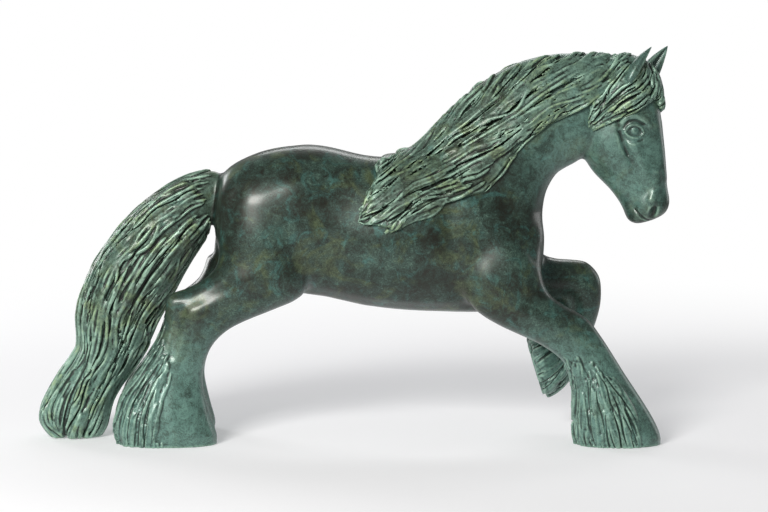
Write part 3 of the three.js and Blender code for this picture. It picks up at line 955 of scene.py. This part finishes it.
class Graph:
    """A node material, written as functions of sockets and numbers."""

    def __init__(self, name):
        self.material = bpy.data.materials.new(name)
        self.material.use_nodes = True
        self.tree = self.material.node_tree
        self.shader = self.tree.nodes["Principled BSDF"]
        self.place = self.tree.nodes.new("ShaderNodeTexCoord").outputs["Object"]

    def feed(self, value, socket):
        if isinstance(value, bpy.types.NodeSocket):
            self.tree.links.new(value, socket)
        elif socket.type == "RGBA":
            socket.default_value = (*value, 1)
        else:
            socket.default_value = value

    def set(self, **values):
        for name, value in values.items():
            self.feed(value, self.shader.inputs[name.replace("_", " ").title().replace("Ior", "IOR")])

    def noise(self, size, detail=4.0, roughness=0.6, distortion=0.0, stretch=(1, 1, 1), shift=0.0):
        """Noise with features of a size in millimetres."""
        mapping = self.tree.nodes.new("ShaderNodeMapping")
        self.feed(self.place, mapping.inputs["Vector"])
        mapping.inputs["Scale"].default_value = stretch
        mapping.inputs["Location"].default_value = (shift, 0.37 * shift, 0.71 * shift)
        node = self.tree.nodes.new("ShaderNodeTexNoise")
        self.feed(mapping.outputs["Vector"], node.inputs["Vector"])
        node.inputs["Scale"].default_value = 1 / (size * MM)
        node.inputs["Detail"].default_value = detail
        node.inputs["Roughness"].default_value = roughness
        node.inputs["Distortion"].default_value = distortion
        return node.outputs["Fac"]

    def reading(self, name):
        node = self.tree.nodes.new("ShaderNodeAttribute")
        node.attribute_name = name
        return node.outputs["Fac"]

    def math(self, operation, a, b=0.0, c=0.0):
        node = self.tree.nodes.new("ShaderNodeMath")
        node.operation = operation
        for value, socket in zip((a, b, c), node.inputs):
            self.feed(value, socket)
        return node.outputs[0]

    def step(self, value, low, high, bottom=0.0, top=1.0):
        """A soft step from bottom to top as value goes from low to high."""
        node = self.tree.nodes.new("ShaderNodeMapRange")
        node.interpolation_type = "SMOOTHSTEP"
        for key, number in (("From Min", low), ("From Max", high), ("To Min", bottom), ("To Max", top)):
            node.inputs[key].default_value = number
        self.feed(value, node.inputs["Value"])
        return node.outputs["Result"]

    def times(self, a, b):
        return self.math("MULTIPLY", a, b)

    def mix(self, factor, a, b):
        node = self.tree.nodes.new("ShaderNodeMix")
        node.data_type = "RGBA"
        self.feed(factor, node.inputs[0])
        self.feed(a, node.inputs[6])
        self.feed(b, node.inputs[7])
        return node.outputs[2]

    def axis(self, letter):
        parts = self.tree.nodes.new("ShaderNodeSeparateXYZ")
        self.feed(self.place, parts.inputs[0])
        return parts.outputs[letter]

    def bump(self, height, strength, distance):
        node = self.tree.nodes.new("ShaderNodeBump")
        node.inputs["Strength"].default_value = strength
        node.inputs["Distance"].default_value = distance * MM
        self.feed(height, node.inputs["Height"])
        self.feed(node.outputs["Normal"], self.shader.inputs["Normal"])


def patina(name, pale, groove, ridge):
    """Waxed green patina: clouds, mottles and fine fibres of colour, with painted shade darkening the grooves
    and pale ridges that are partly wear and partly painted highlight, and paler low down and on the neck and
    face, partly as a painted highlight."""
    g = Graph(name)
    clouds = g.noise(34, 3, 0.55, 0.5)
    mottle = g.noise(7.5, 7, 0.70, 1.1, shift=3.1)
    fibre = g.noise(2.3, 5, 0.72, 2.4, shift=7.7)
    grain = g.noise(0.5, 3, 0.7, 0.5, shift=1.3)
    hollow = g.reading("hollow")
    finer = g.math("MULTIPLY_ADD", mottle, 0.55, g.times(fibre, 0.55))
    tone = g.math("MULTIPLY_ADD", clouds, 0.50, finer)
    colour = g.mix(g.step(tone, 0.62, 0.84), UMBER, DEEP_GREEN)
    colour = g.mix(g.step(tone, 0.74, 1.0), colour, VERDIGRIS)
    sallow = g.step(g.noise(24, 5, 0.62, 1.2, shift=17.0), 0.50, 0.68)
    colour = g.mix(g.times(sallow, g.step(tone, 0.64, 0.90, 0.15, 0.85)), colour, OLIVE)
    patches = g.step(g.noise(15, 6, 0.66, 1.4, shift=11.0), 0.52, 0.70)
    colour = g.mix(g.times(patches, g.step(tone, 0.62, 0.90, 0.15, 0.85)), colour, TEAL)
    dust = g.times(g.step(tone, 0.82, 1.06), g.step(fibre, 0.48, 0.66))
    colour = g.mix(g.times(dust, 0.22), colour, MINT)
    specks = g.step(g.noise(1.7, 5, 0.78, 1.8, shift=5.0), 0.50, 0.68)
    colour = g.mix(g.times(specks, 0.74), colour, SOOT_AND_SHADE)
    # Paler low down and on the neck front and face: partly the patina's own paler colour, partly a painted
    # highlight.
    low = g.step(g.axis("Z"), 0.088, 0.045)
    front = g.times(g.step(g.axis("X"), 0.085, 0.135, 0.0, 0.75), g.step(g.axis("Z"), 0.138, 0.160))
    broken = g.math("ADD", mottle, fibre)
    lit = g.times(g.math("MAXIMUM", low, front), g.step(broken, 0.75, 1.2, 0.3, 1.0))
    colour = g.mix(g.times(lit, 0.8), colour, SEAFOAM)
    crust_and_highlight = MINT
    if pale:
        crust_and_highlight = g.mix(g.step(g.noise(20, 4, 0.6, 1.0, shift=23.0), 0.48, 0.62), MINT, STRAW)
        colour = g.mix(g.step(broken, 0.75, 1.25, 0.3 * pale, 1.7 * pale), colour, crust_and_highlight)
    # Ridges take the pale crust colour: partly wear, partly a painted highlight.
    wear_and_highlight = g.times(g.step(hollow, -0.03, -0.24), g.step(mottle, 0.30, 0.60))
    colour = g.mix(g.times(wear_and_highlight, ridge), colour, crust_and_highlight)
    # Painted shade: the grooves are darkened towards soot-black by their depth.
    colour = g.mix(g.times(g.step(hollow, 0.01, 0.20), groove), colour, SOOT_AND_SHADE)
    g.set(base_color=colour, metallic=g.step(tone, 0.95, 0.6, 0.1, 0.4))
    g.set(roughness=g.step(mottle, 0.25, 0.75, 0.34, 0.50))
    g.set(specular_ior_level=0.4, coat_weight=0.2 if pale else 0.4, coat_roughness=0.2, coat_ior=1.45)
    g.bump(g.math("MULTIPLY_ADD", fibre, 0.6, g.times(grain, 0.4)), 0.3, 0.25)
    return g.material


def bare_metal(name):
    g = Graph(name)
    stain = g.noise(3.0, 5, 0.6, 0.6)
    scratch = g.noise(0.8, 3, 0.7, 0.0, stretch=(1, 1, 6))
    g.set(base_color=g.mix(g.step(stain, 0.35, 0.65), RAW_BRONZE, UMBER), metallic=0.9)
    g.set(roughness=g.step(scratch, 0.3, 0.7, 0.28, 0.5))
    g.bump(scratch, 0.2, 0.1)
    return g.material


MATERIALS = {
    "bronze_patina": patina("bronze_patina", 0.0, 0.8, 0.6),
    "hair_patina": patina("hair_patina", 0.16, 0.93, 0.9),
    "bare_bronze": bare_metal("bare_bronze"),
}

# ---- The pieces ----

skin = skin_field()
sculpt_body(skin)

neck_cut = flat_cut("neck", "torso")
head_cut = flat_cut("head", "neck")
tail_cut = flat_cut("tail", "torso")
limb_cuts = {limb: flat_cut(limb, "torso") for limb in LIMBS}


def side_of(limb):
    return -1 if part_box(limb)[0][1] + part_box(limb)[1][1] < 0 else 1


def plugs_of(casting):
    return [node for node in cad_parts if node.startswith(casting + "_core_plug")]


def hand_in(piece, slot, nodes):
    """Gives a piece its material, hides the CAD nodes that it stands for, and hangs it under the root body.
    """
    piece.data.materials.append(MATERIALS[slot])
    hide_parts(*nodes)
    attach(piece, "root")


def make_section(name, field, planes, slot, nodes, seed, triangles=100_000, margin=5.0):
    """One casting's skin as a piece: the zero surface of its field between its saw cuts."""
    trim(field, planes, margin)
    points, quads = surface_of(field)
    points, quads = connected(points, quads, seed)
    hollow = (hollow_of(points, quads, field.step) * field.normals(points)).sum(1)
    piece = make_piece(name, points, quads, hollow)
    cut_piece(piece, planes)
    thin(piece, triangles, planes)
    set_normals(piece, field)
    hand_in(piece, slot, nodes)


def build_torso():
    field = region(["torso"], 6, PIECE_STEP, skin)
    planes = [reverse(neck_cut), reverse(tail_cut)]
    planes += [reverse(limb_cuts[limb], side_of(limb)) for limb in LIMBS]
    nodes = ["torso", "belly_patch"] + plugs_of("torso")
    make_section("torso_casting", field, planes, "bronze_patina", nodes, (0, -40, 120))


def build_neck():
    field = region(["neck"], 6, PIECE_STEP, skin)
    planes = [neck_cut, reverse(head_cut)]
    make_section("neck_casting", field, planes, "bronze_patina", ["neck"] + plugs_of("neck"), (110, -30, 190))


def build_head():
    field = region(["head"], 6, FACE_STEP, skin)
    sculpt_face(field)
    make_section("head_casting", field, [head_cut], "bronze_patina", ["head"], (175, -20, 190))


def leg_region(limb):
    """A leg's field. Below its hoof it runs straight on, so that the sole can be cut flat."""
    low, high = box_of(limb)
    standing = low[2] < 1
    low[1], high[1] = min(low[1], 0), max(high[1], 0)
    low = low - np.array([5, 5, 12 if standing else 5])
    first, shape = aligned(low, high + 5, LEG_STEP)
    field = resampled(skin, first, shape, LEG_STEP)
    if standing:
        above = int(np.searchsorted(field.axes()[2], SOLE_EDGE))
        field.values[:, :, :above] = field.values[:, :, above : above + 1]
    return field


def stand_on(field, height):
    """Cuts a field off flat below a height."""
    z = field.axes()[2].astype(np.float32)
    field.values = np.maximum(field.values, (height - z)[None, None, :])


def build_leg(limb, feather):
    field = leg_region(limb)
    side = side_of(limb)
    feather(field, side)
    stand_on(field, 0.0)
    middle = (np.zeros(3), np.array([0.0, side, 0.0]), 0)
    planes = [limb_cuts[limb], middle]
    low, high = box_of(limb)
    seed = ((low[0] + high[0]) / 2, side * 44, 60)
    make_section(limb + "_casting", field, planes, "bronze_patina", [limb], seed, 70_000)


def lay(bed, flow, rng, covered, style, *boxes):
    """Locks that start in some boxes, each a low corner, a high corner and a count."""
    tubes = []
    for low, high, count in boxes:
        starts = seeds_on(bed, rng, count, np.array(low, float), np.array(high, float), covered)
        tubes.append(grow_locks(bed, starts, flow, rng, style, covered))
    return tubes


# How locks look: lengths, half widths of a lock and of a strand, the heights over the skin of a lock's
# middle (crown), its strands (lift) and the whole lock (stack), a strand's height for its width (tall), and
# the parts of its length over which it swells and thins (root, tip).
FEATHER_BROAD = dict(length=(34, 74), strands=4, lock=3.0, width=1.0, crown=0.4, lift=(-0.8, 0.1), tall=1.2,
                     root=0.05, tip=0.3)
FEATHER_FINE = dict(FEATHER_BROAD, length=(24, 66), strands=2, lock=1.2, width=0.75, lift=(-0.4, 0.4))
TAIL_BROAD = dict(length=(70, 170), strands=5, lock=4.4, width=1.3, crown=1.2, lift=(-0.4, 0.6), tall=1.3,
                  root=0.06, stack=1.5)
TAIL_FINE = dict(length=(50, 120), strands=2, lock=1.4, width=1.1, crown=0.8, lift=(0.2, 1.1), tall=1.25,
                 root=0.08, stack=1.0)
MANE_BROAD = dict(TAIL_BROAD, length=(70, 160), lock=4.2, width=1.25, roll=0.9, overrun=(-3, 7))
MANE_FINE = dict(TAIL_FINE, length=(45, 120), width=1.0, roll=0.9, overrun=(-3, 7))
# Grooves cut between the locks: deep, narrow and long.
TAIL_GROOVE = dict(length=(60, 150), strands=1, lock=1.0, width=0.75, crown=0, lift=(0.9, 2.0), tall=2.6,
                   root=0.3, tip=0.3)
MANE_GROOVE = dict(TAIL_GROOVE, length=(50, 140), width=0.62, tall=2.8, roll=0.9, overrun=(-6, 0))
FORELOCK_GROOVE = dict(TAIL_GROOVE, length=(30, 70), width=0.55, tall=2.8, roll=0.3, overrun=(-4, 0))
FEATHER_GROOVE = dict(TAIL_GROOVE, length=(22, 70), width=0.55, lift=(0.4, 1.3), tall=2.4)
FORELOCK_BROAD = dict(length=(36, 74), strands=4, lock=2.9, width=1.05, crown=1.1, lift=(-0.4, 0.5), tall=1.3,
                      roll=0.3, stack=1.4)
FORELOCK_FINE = dict(FORELOCK_BROAD, strands=2, lock=1.2, width=0.85, lift=(0.0, 0.9), stack=0.8)
FEATHER = (FEATHER_BROAD, FEATHER_FINE, FEATHER_GROOVE)
HAIR_SEEDS = {"mane": (100, -30, 215), "forelock": (170, -25, 215)}  # a place on each hair casting


def dress(field, flow, seed, covered, styles, *boxes):
    """Covers a skin with broad and fine locks, and cuts grooves between them."""
    rng = np.random.default_rng(seed)
    broad, fine, grooves = (lay(field, flow, rng, covered, style, *boxes) for style in styles)
    field.values = melt(field.values, strand_field(field, broad + fine), 0.3)
    field.values = np.maximum(field.values, -strand_field(field, grooves))


def hind_feather(field, side):
    def covered(points):
        front = np.interp(points[:, 2], [0, 25, 50, 62, 75, 88], [-122, -120, -111, -113, -118, -121])
        ragged = 1.5 * np.sin(points[:, 2] * 0.6 + points[:, 1])
        return (points[:, 0] < front + ragged) & (points[:, 2] < 86)

    y = sorted((0, side * 46))
    roots = ((-128, y[0], 48), (-105, y[1], 84), 34)
    upper = ((-140, y[0], 25), (-105, y[1], 55), 34)
    lower = ((-160, y[0], -4), (-110, y[1], 30), 40)
    dress(field, Flow(HIND_FEATHER_FLOW), 11 + side, covered, FEATHER, roots, upper, lower)


def fore_feather(field, side):
    def covered(points):
        back = np.interp(points[:, 2], [0, 20, 40, 52, 60], [181, 176, 165, 156, 148])
        return (points[:, 0] < back) & (points[:, 2] < 62)

    roots = ((128, -50, 42), (165, 0, 60), 34)
    upper = ((130, -50, 22), (170, 0, 46), 30)
    lower = ((130, -50, -4), (185, 0, 26), 36)
    dress(field, Flow(FORE_FEATHER_FLOW), 23, covered, FEATHER, roots, upper, lower)


def raised_feather(field, side):
    def covered(points):
        reach = (points[:, 0] - 112) * 0.75 + (points[:, 2] - 30) * 0.35
        return (points[:, 2] < 76) & (points[:, 0] < 152) & (reach > 0)

    roots = ((134, 0, 40), (156, 50, 76), 34)
    lower = ((106, 0, 20), (145, 50, 74), 60)
    dress(field, Flow(RAISED_FEATHER_FLOW), 31, covered, FEATHER, roots, lower)


def build_tail():
    field = region(["tail"], 6, TAIL_STEP, skin)

    def covered(points):
        return points[:, 0] < -87.5

    roots = ((-100, -24, 120), (-87, 24, 178), 44)
    middle = ((-160, -24, 60), (-90, 24, 170), 44)
    lower = ((-204, -24, 10), (-130, 24, 90), 44)
    styles = (TAIL_BROAD, TAIL_FINE, TAIL_GROOVE)
    dress(field, Flow(TAIL_FLOW, 7.0), 41, covered, styles, roots, middle, lower)
    stand_on(field, 0.5)
    nodes = ["tail"] + plugs_of("tail")
    make_section("tail_casting", field, [tail_cut], "hair_patina", nodes, (-160, -20, 110), 160_000, 2.0)


def hair_cover(node, thick, flow, seed, styles, boxes, triangles, patch=None):
    """A hair casting that lies on the skin: a smooth slab with strands over it and grooves between them."""
    step = MANE_STEP
    rng = np.random.default_rng(seed)
    base = region([node], 8, step, skin)
    cover = Cover(node, patch)
    depth = -2.5 + (thick + 2.5) * smoothstep(0.3, 0.85, cover.on_grid(base))
    slab = (base.values - depth).astype(np.float32)
    bed = Field(base.low, step, melt(slab, base.values, 1.0))

    def covered(points):
        return cover.at(points) > 0.45

    broad, fine, grooves = (lay(bed, flow, rng, covered, style, *boxes) for style in styles)
    outer = melt(slab, strand_field(bed, broad + fine), 0.25)
    cut = strand_field(bed, grooves)
    outer = np.maximum(outer, -np.maximum(cut, 0.4 - base.values))
    field = Field(base.low, step, np.maximum(outer, -(base.values + 1.0)))
    make_section(node + "_casting", field, [], "hair_patina", [node], HAIR_SEEDS[node], triangles)


def build_mane():
    crest_right = ((34, -16, 183), (170, 0.5, 252), 60)
    crest_left = ((34, -0.5, 183), (170, 16, 252), 40)
    right = ((10, -45, 140), (170, -8, 240), 60)
    left = ((40, 8, 150), (170, 30, 240), 40)
    poll = ((125, -16, 234), (182, 14, 254), 36)
    boxes = (crest_right, crest_left, right, left, poll)
    styles = (MANE_BROAD, MANE_FINE, MANE_GROOVE)
    hair_cover("mane", 2.4, Flow(MANE_FLOW, 7.0), 5, styles, boxes, 190_000)


def build_forelock():
    boxes = (((168, -30, 222), (200, 16, 248), 34), ((144, -30, 190), (200, 16, 248), 44))
    styles = (FORELOCK_BROAD, FORELOCK_FINE, FORELOCK_GROOVE)
    hair_cover("forelock", 2.0, Flow(FORELOCK_FLOW), 8, styles, boxes, 60_000, POLL_WEDGE)


def build_ear(node, lean, opening, shift):
    """An ear: a leaf-shaped shell, cupped towards its opening. Shift moves its base and tip forwards."""
    low, high = box_of(node)
    tip = np.array([high[0] + shift[1], (low[1] + high[1]) / 2 + lean, high[2] - 0.3])
    base = np.array([low[0] + shift[0], (low[1] + high[1]) / 2 - lean, low[2] - 3])
    axis = unit(tip - base)
    opening = np.array(opening, float)
    opening = unit(opening - (opening @ axis) * axis)
    side = np.cross(axis, opening)
    rings, around = 44, 48
    s = np.linspace(0, 1, rings)[:, None]
    a = np.linspace(0, 2 * math.pi, around, endpoint=False)[None]
    wide = 6.3 * np.sin(math.pi * (0.22 + 0.78 * s) ** 0.75) ** 0.8 * (1 - 0.15 * s) + 0.05
    deep = 0.66 * wide
    cup = 1.18 * smoothstep(0.08, 0.35, s) * (1 - smoothstep(0.86, 1.0, s))
    off = np.abs(np.angle(np.exp(1j * (a - math.pi / 2))))
    front = np.exp(-((off / 0.62) ** 3))
    roll = 1 + 0.16 * np.exp(-(((off - 0.95) / 0.28) ** 2)) * cup
    u = wide * np.cos(a) * (1 - 0.35 * cup * front) * roll
    v = deep * np.sin(a) * (1 - cup * front) * roll
    bow = 1.1 * np.sin(math.pi * s)
    length = np.linalg.norm(tip - base)
    place = base + (s * length)[..., None] * axis + u[..., None] * side + (v - bow)[..., None] * opening
    points = place.reshape(-1, 3)
    i, j = np.meshgrid(np.arange(rings - 1), np.arange(around), indexing="ij")
    k = (j + 1) % around
    near, far = i * around, (i + 1) * around
    quads = np.stack([near + j, far + j, far + k, near + k], -1).reshape(-1, 4)
    caps = []
    for ring, order in ((0, 1), (rings - 1, -1)):
        for j in range(1, around - 2, 2):
            caps.append(np.array([0, j, j + 1, j + 2])[::order] + ring * around)
    quads = np.concatenate([quads, np.array(caps)])
    # The cup inside the ear counts as a groove, for painted shade, and its rolled rim as a ridge, for the
    # pale ridge colour.
    hollow = (cup * (0.07 * front - 0.2 * (roll - 1) / 0.16)).reshape(-1)
    hand_in(make_piece(node + "_casting", points, quads, hollow), "bronze_patina", [node])


# ---- Camera, floor and light ----

CAMERA_TARGET = (18.8, 0, 116)
CAMERA_ELEVATION = math.radians(6)
CAMERA_DISTANCE = 1.6
CAMERA_LENS = 117.9
ROOM_LOW, ROOM_HIGH = 0.16, 0.22  # the room's brightness as a light, at the horizon and overhead
FLOOR_REACH = 40
PAPER = (0.765, 0.768, 0.79)
PAPER_GLOW = 0.25


def make_camera():
    """A long lens from the right of the horse, a little above it."""
    camera = bpy.data.objects.new("camera", bpy.data.cameras.new("camera"))
    bpy.context.scene.collection.objects.link(camera)
    target = Vector(CAMERA_TARGET) * MM
    way = Vector((0, -math.cos(CAMERA_ELEVATION), math.sin(CAMERA_ELEVATION)))
    camera.location = target + way * CAMERA_DISTANCE
    camera.rotation_euler = (target - camera.location).to_track_quat("-Z", "Y").to_euler()
    camera.data.lens = CAMERA_LENS
    camera.data.sensor_width = 36
    camera.data.clip_start = 0.01
    bpy.context.scene.camera = camera


def soft_box(name, place, aim, size, power, colour=(1, 1, 1)):
    light = bpy.data.lights.new(name, "AREA")
    light.shape = "RECTANGLE"
    light.size, light.size_y = size
    light.energy = power
    light.color = colour
    lamp = bpy.data.objects.new(name, light)
    bpy.context.scene.collection.objects.link(lamp)
    lamp.location = place
    lamp.rotation_euler = (Vector(aim) - Vector(place)).to_track_quat("-Z", "Y").to_euler()


def make_world():
    """A white room to the eye, darker low down for the light that it gives."""
    world = bpy.data.worlds.new("studio")
    world.use_nodes = True
    tree = world.node_tree
    background = tree.nodes["Background"]
    way = tree.nodes.new("ShaderNodeTexCoord").outputs["Generated"]
    parts = tree.nodes.new("ShaderNodeSeparateXYZ")
    tree.links.new(way, parts.inputs[0])
    rise = tree.nodes.new("ShaderNodeMapRange")
    for key, number in (("From Min", 0.0), ("From Max", 1.0), ("To Min", ROOM_LOW), ("To Max", ROOM_HIGH)):
        rise.inputs[key].default_value = number
    tree.links.new(parts.outputs["Z"], rise.inputs["Value"])
    path = tree.nodes.new("ShaderNodeLightPath")
    mix = tree.nodes.new("ShaderNodeMix")
    tree.links.new(path.outputs["Is Camera Ray"], mix.inputs[0])
    tree.links.new(rise.outputs["Result"], mix.inputs[2])
    mix.inputs[3].default_value = 1.0
    tree.links.new(mix.outputs[0], background.inputs["Strength"])
    background.inputs["Color"].default_value = (1, 1, 1, 1)
    bpy.context.scene.world = world
    bpy.context.scene.view_settings.view_transform = "Standard"


def make_floor():
    """Pale paper that brightens away from the object until it is the white of the room."""
    mesh = bpy.data.meshes.new("floor")
    corners = [(x * FLOOR_REACH, y * FLOOR_REACH, 0) for x, y in ((-1, -1), (1, -1), (1, 1), (-1, 1))]
    mesh.from_pydata(corners, [], [(0, 1, 2, 3)])
    floor = bpy.data.objects.new("floor", mesh)
    bpy.context.scene.collection.objects.link(floor)
    g = Graph("floor_paper")
    g.set(base_color=PAPER, roughness=0.85, specular_ior_level=0.1)
    g.set(emission_color=(1, 1, 1.01), emission_strength=PAPER_GLOW)
    length = g.tree.nodes.new("ShaderNodeVectorMath")
    length.operation = "LENGTH"
    g.feed(g.place, length.inputs[0])
    seen = g.tree.nodes.new("ShaderNodeLightPath").outputs["Is Camera Ray"]
    glow = g.tree.nodes.new("ShaderNodeEmission")
    g.feed(g.step(seen, 0, 1, ROOM_LOW, 1.0), glow.inputs["Strength"])
    blend = g.tree.nodes.new("ShaderNodeMixShader")
    g.feed(g.step(length.outputs["Value"], 0.2, 0.95), blend.inputs[0])
    g.feed(g.shader.outputs[0], blend.inputs[1])
    g.feed(glow.outputs[0], blend.inputs[2])
    g.feed(blend.outputs[0], g.tree.nodes["Material Output"].inputs["Surface"])
    floor.data.materials.append(g.material)


def make_studio():
    make_world()
    make_floor()
    soft_box("key", (-0.65, -1.35, 0.80), (-0.03, 0, 0.12), (0.58, 0.44), 27, (1.0, 0.985, 0.95))
    soft_box("top", (0.1, 0.95, 0.85), (0, 0, 0.1), (0.9, 0.22), 3)
    soft_box("rim", (-0.9, 0.9, 0.4), (0, 0, 0.13), (0.4, 0.7), 5)
    soft_box("rim_front", (1.1, 0.8, 0.4), (0, 0, 0.13), (0.4, 0.7), 1.5)


def finish_inner_pins():
    """The dowels and pins stay as the CAD has them, in bare metal."""
    for name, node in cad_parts.items():
        if name.endswith(("_dowel", "_pin")):
            node.data.materials.clear()
            node.data.materials.append(MATERIALS["bare_bronze"])


build_torso()
build_neck()
build_head()
for limb, feather in zip(LIMBS, (hind_feather, hind_feather, fore_feather, raised_feather)):
    build_leg(limb, feather)
build_tail()
build_mane()
build_forelock()
build_ear("ear_right", 0.6, (0.9, 0.1, 0.1), (-2.5, -4.4))
build_ear("ear_left", 0.4, (0.6, -0.8, 0.1), (3.0, 0.0))
finish_inner_pins()
make_camera()
make_studio()
